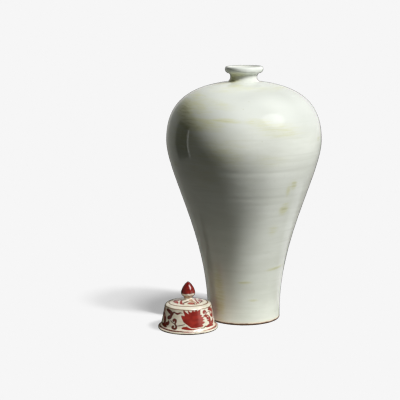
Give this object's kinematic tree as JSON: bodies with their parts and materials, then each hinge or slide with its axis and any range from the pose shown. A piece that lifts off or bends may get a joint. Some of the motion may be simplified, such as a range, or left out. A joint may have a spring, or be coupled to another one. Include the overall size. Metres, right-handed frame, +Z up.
{
  "type": "covered vase",
  "caption": "Tall high-shouldered glazed porcelain vase with a short neck and rolled lip, and its flared cover with a bud knob standing beside it.",
  "frame": {"origin": "on the vase's axis, in the plane that the foot ring stands on", "axes": "+Z up along the vase's axis; the cover stands on the same plane towards -X -Y, which is the front left of the pictured side"},
  "size_m": [0.2201, 0.2201, 0.36],
  "materials": {
    "vase_glaze": "glossy pale greenish-white glaze",
    "cover_glaze": "glossy cream-white glaze over red painting",
    "knob_glaze": "glossy red glaze"
  },
  "bodies": {
    "vase": {"foot_section": "vase_glaze", "lower_body": "vase_glaze", "shoulder_section": "vase_glaze", "neck_and_lip": "vase_glaze"},
    "cover": {"cover_cap": "cover_glaze", "cover_knob": "knob_glaze", "cover_locating_tube": "cover_glaze"}
  },
  "joints": [
    {"name": "cover_lift", "type": "slide", "parent": "vase", "child": "cover", "axis": [-0.2418, -0.2418, 0.9397], "range_m": [0, 0.4]}
  ]
}
